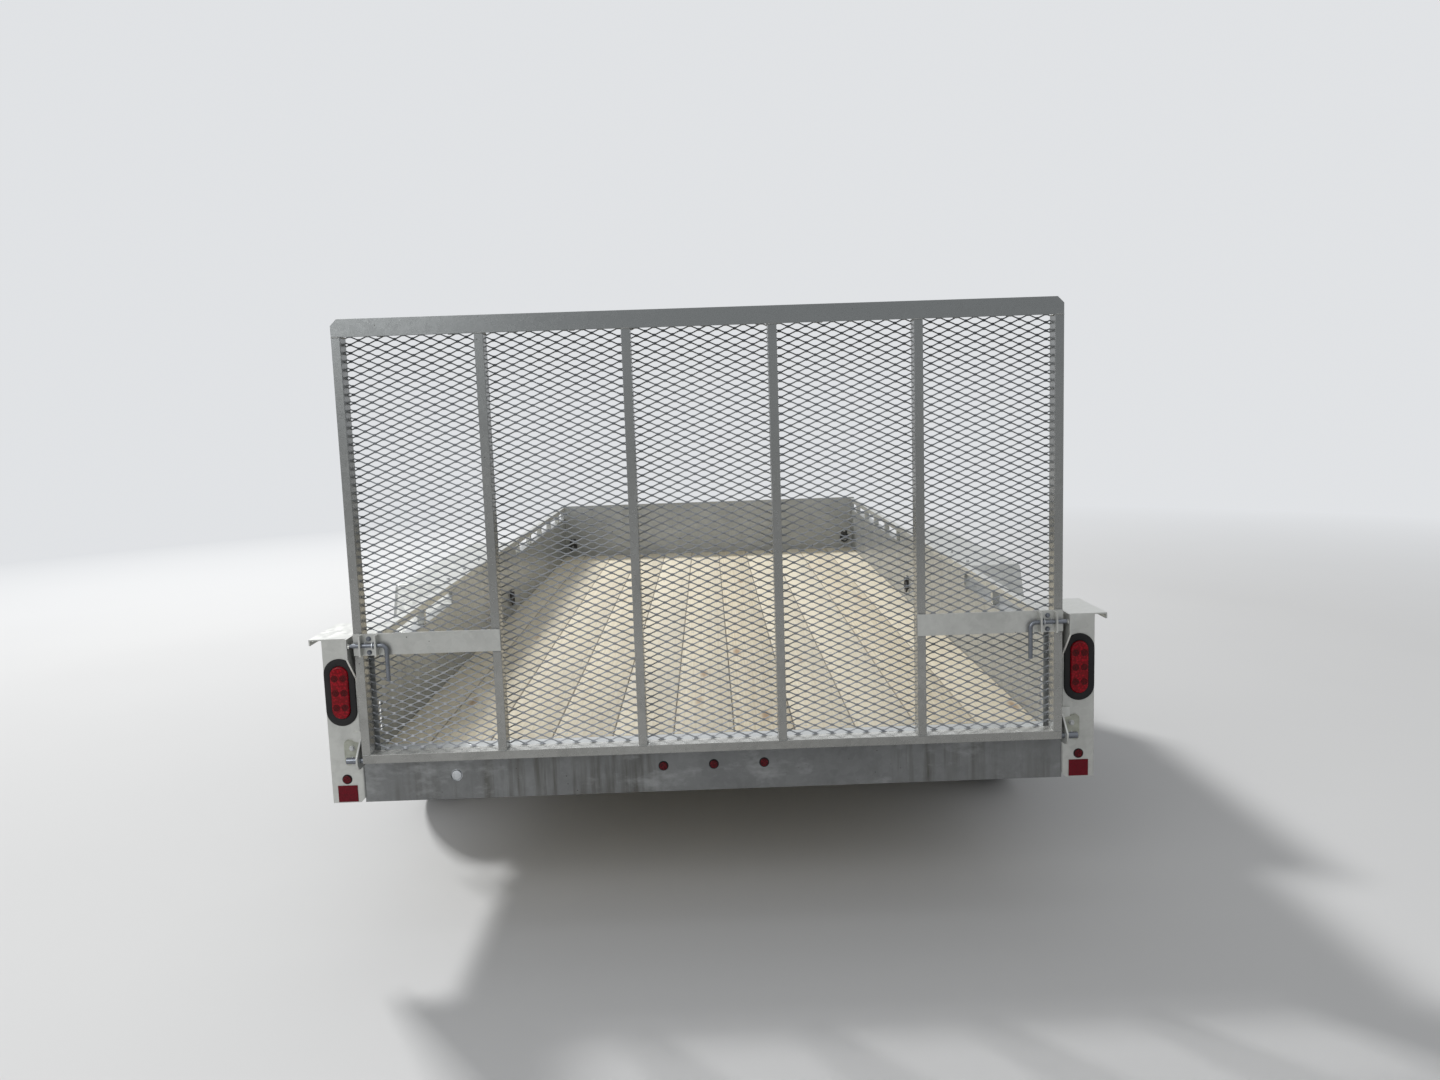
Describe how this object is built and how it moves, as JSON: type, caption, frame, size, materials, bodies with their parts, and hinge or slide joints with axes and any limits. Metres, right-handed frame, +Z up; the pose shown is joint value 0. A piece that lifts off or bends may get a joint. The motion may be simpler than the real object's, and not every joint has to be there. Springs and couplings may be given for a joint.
{
  "type": "tandem axle utility trailer",
  "caption": "Galvanised utility trailer with a boarded bed, low walls, a mesh drop gate, tandem axles, wide fenders and a tongue on its jack.",
  "frame": {"origin": "on the ground under the middle of the whole trailer, tongue included", "axes": "+Y forwards to the hitch, +X to the right seen from behind, +Z up"},
  "size_m": [2.44, 5.62, 1.824],
  "materials": {
    "galvanised": "hot-dip galvanised, mottled",
    "deck_wood": "pale sawn pine",
    "plated_steel": "bright zinc plate",
    "black_steel": "satin black",
    "crank_steel": "satin black",
    "lamp_rubber": "black rubber",
    "lamp_red": "clear red lens",
    "reflector_red": "prismatic red",
    "lamp_amber": "clear amber lens",
    "tyre_rubber": "black tyre rubber",
    "wheel_steel": "silver paint"
  },
  "bodies": {
    "root": {"crossmembers": "galvanised", "front_crossmember": "galvanised", "rear_crossmember": "galvanised", "front_wall": "galvanised", "frame_rail_left": "galvanised", "frame_rail_right": "galvanised", "side_panel_left": "galvanised", "side_panel_right": "galvanised", "top_rail_left": "galvanised", "top_rail_right": "galvanised", "rear_post_left": "galvanised", "rear_post_right": "galvanised", "fender_left": "galvanised", "fender_right": "galvanised", "tongue_rail_left": "galvanised", "tongue_rail_right": "galvanised", "chain_plate": "galvanised", "spring_hangers": "galvanised", "deck_boards": "deck_wood", "jack_body": "plated_steel", "coupler": "plated_steel", "spring_clamps": "plated_steel", "axle_front": "black_steel", "axle_rear": "black_steel", "leaf_springs": "black_steel", "equalizers": "black_steel", "tie_downs": "black_steel", "jack_crank": "crank_steel", "lamp_grommets": "lamp_rubber", "lamp_lenses": "lamp_red", "marker_lamps": "lamp_red", "reflectors": "reflector_red", "side_markers": "lamp_amber"},
    "gate": {"gate_frame": "galvanised", "gate_mesh": "galvanised", "gate_braces": "galvanised", "latch_pins": "plated_steel", "hinge_pins": "plated_steel"},
    "jack_inner": {"jack_leg": "plated_steel"},
    "wheel_assembly_front_left": {"tyre_front_left": "tyre_rubber", "wheel_front_left": "wheel_steel"},
    "wheel_assembly_front_right": {"tyre_front_right": "tyre_rubber", "wheel_front_right": "wheel_steel"},
    "wheel_assembly_rear_left": {"tyre_rear_left": "tyre_rubber", "wheel_rear_left": "wheel_steel"},
    "wheel_assembly_rear_right": {"tyre_rear_right": "tyre_rubber", "wheel_rear_right": "wheel_steel"}
  },
  "joints": [
    {"name": "gate_drop", "type": "hinge", "parent": "root", "child": "gate", "pos_m": [0, -2.767, 0.553], "axis": [1, 0, 0], "range_deg": [0, 115]},
    {"name": "jack_extend", "type": "slide", "parent": "root", "child": "jack_inner", "axis": [0, 0, 1], "range_m": [0, 0.25]},
    {"name": "wheel_spin_front_left", "type": "hinge", "parent": "root", "child": "wheel_assembly_front_left", "pos_m": [-1.112, -0.622, 0.345], "axis": [1, 0, 0], "continuous": true},
    {"name": "wheel_spin_front_right", "type": "hinge", "parent": "root", "child": "wheel_assembly_front_right", "pos_m": [1.112, -0.622, 0.345], "axis": [1, 0, 0], "continuous": true},
    {"name": "wheel_spin_rear_left", "type": "hinge", "parent": "root", "child": "wheel_assembly_rear_left", "pos_m": [-1.112, -1.472, 0.345], "axis": [1, 0, 0], "continuous": true},
    {"name": "wheel_spin_rear_right", "type": "hinge", "parent": "root", "child": "wheel_assembly_rear_right", "pos_m": [1.112, -1.472, 0.345], "axis": [1, 0, 0], "continuous": true}
  ]
}
